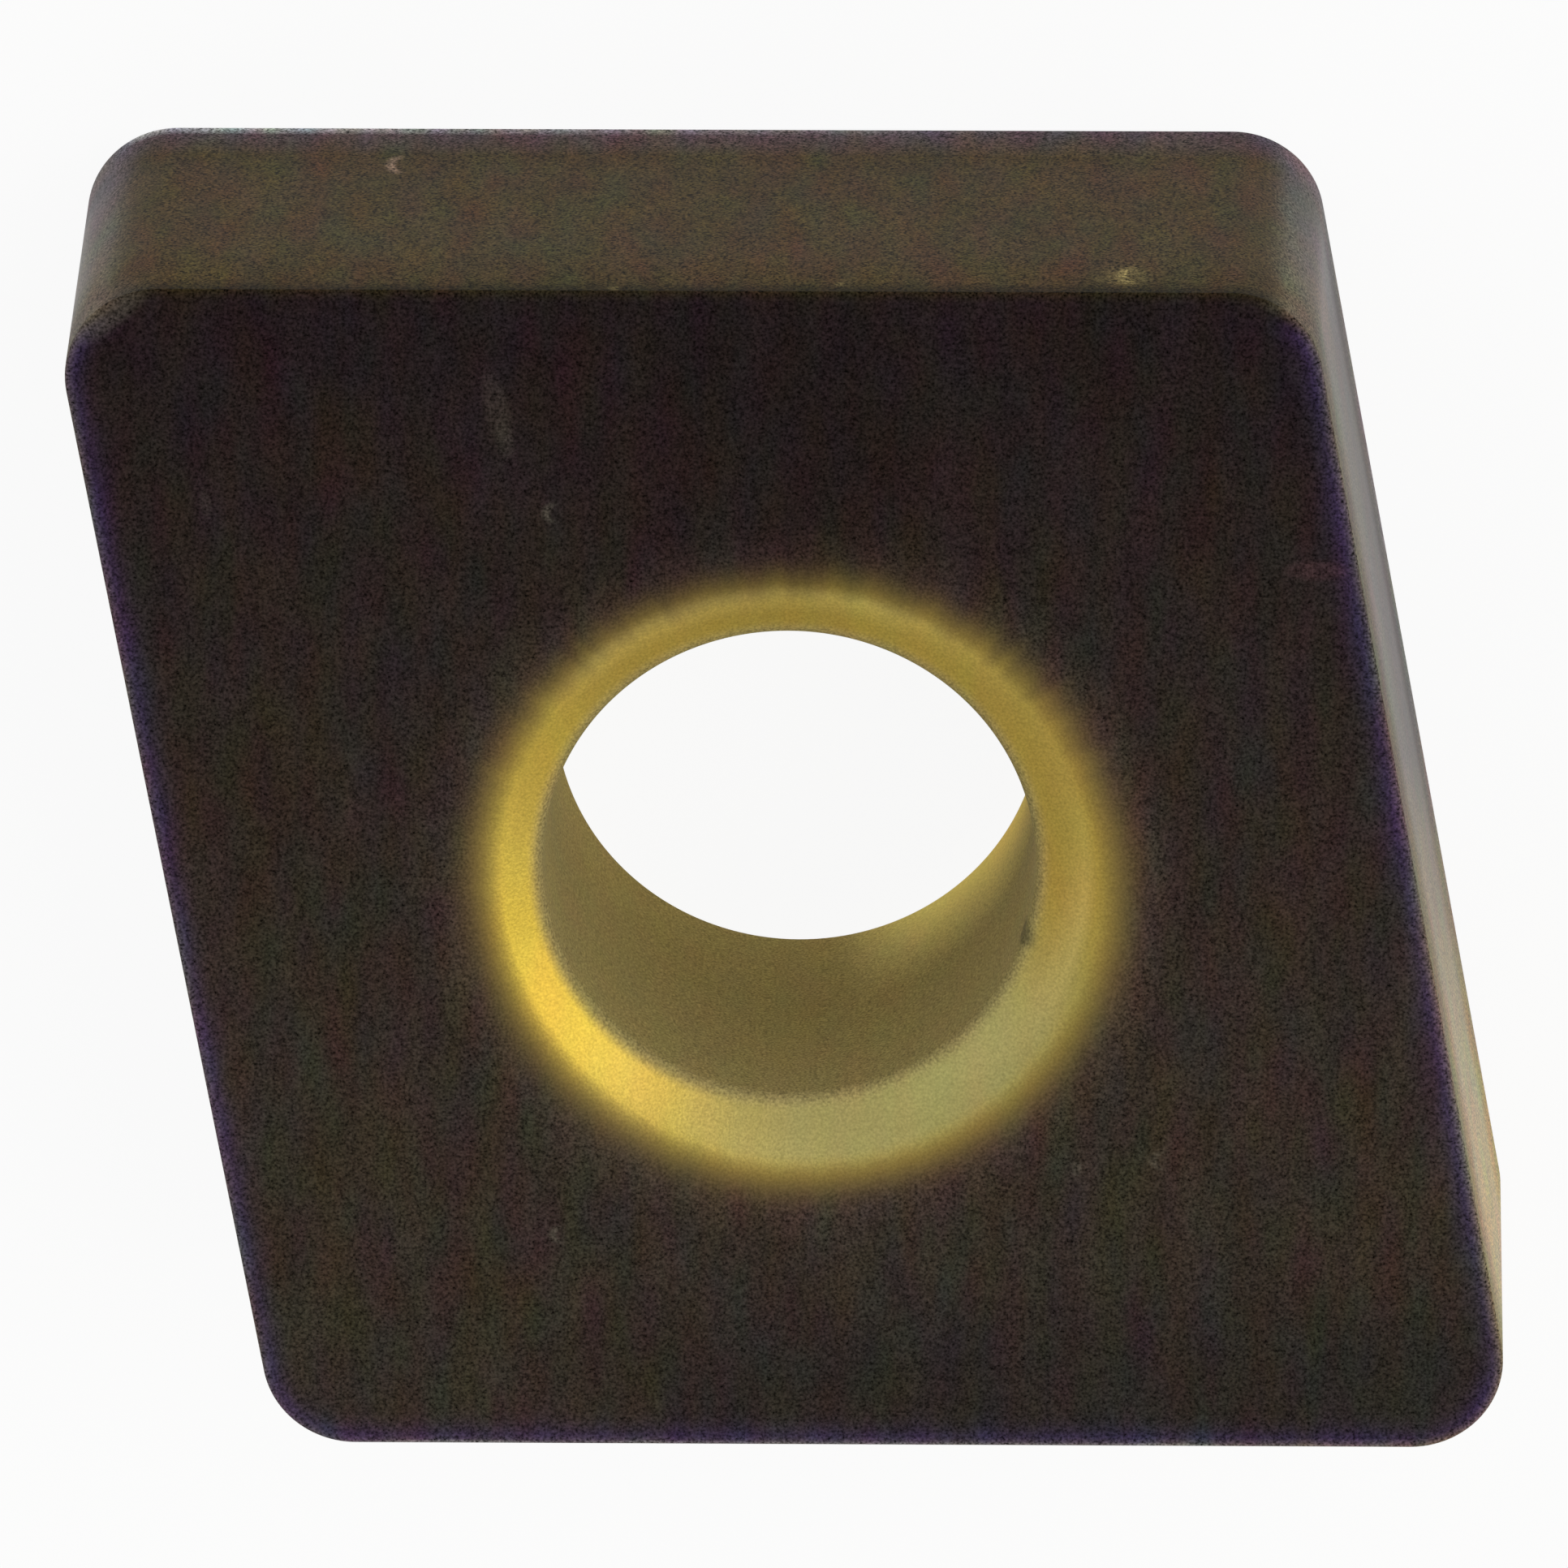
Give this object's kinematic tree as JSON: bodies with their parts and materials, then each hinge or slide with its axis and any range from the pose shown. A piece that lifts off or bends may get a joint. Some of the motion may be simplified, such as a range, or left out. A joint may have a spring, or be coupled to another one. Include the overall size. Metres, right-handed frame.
{
  "type": "carbide insert",
  "caption": "Rhombic flat-faced turning insert of coated cemented carbide, with a flared screw hole, square flanks and honed edges.",
  "frame": {"origin": "where the axis of the screw hole meets the lower face, on which the insert lies", "axes": "+Z along the screw hole and out of the upper face, +X along two of the four cutting edges, +Y across them towards the sharp corner on the -X side"},
  "size_m": [0.0184, 0.0158, 0.0063],
  "materials": {
    "coated_carbide": "matt brown-black vapour-deposited ceramic coating over cemented carbide, gold where the coating thins into the mouth of the hole, violet beside the cutting edges"
  },
  "bodies": {
    "root": {"carbide_insert": "coated_carbide"}
  },
  "joints": []
}
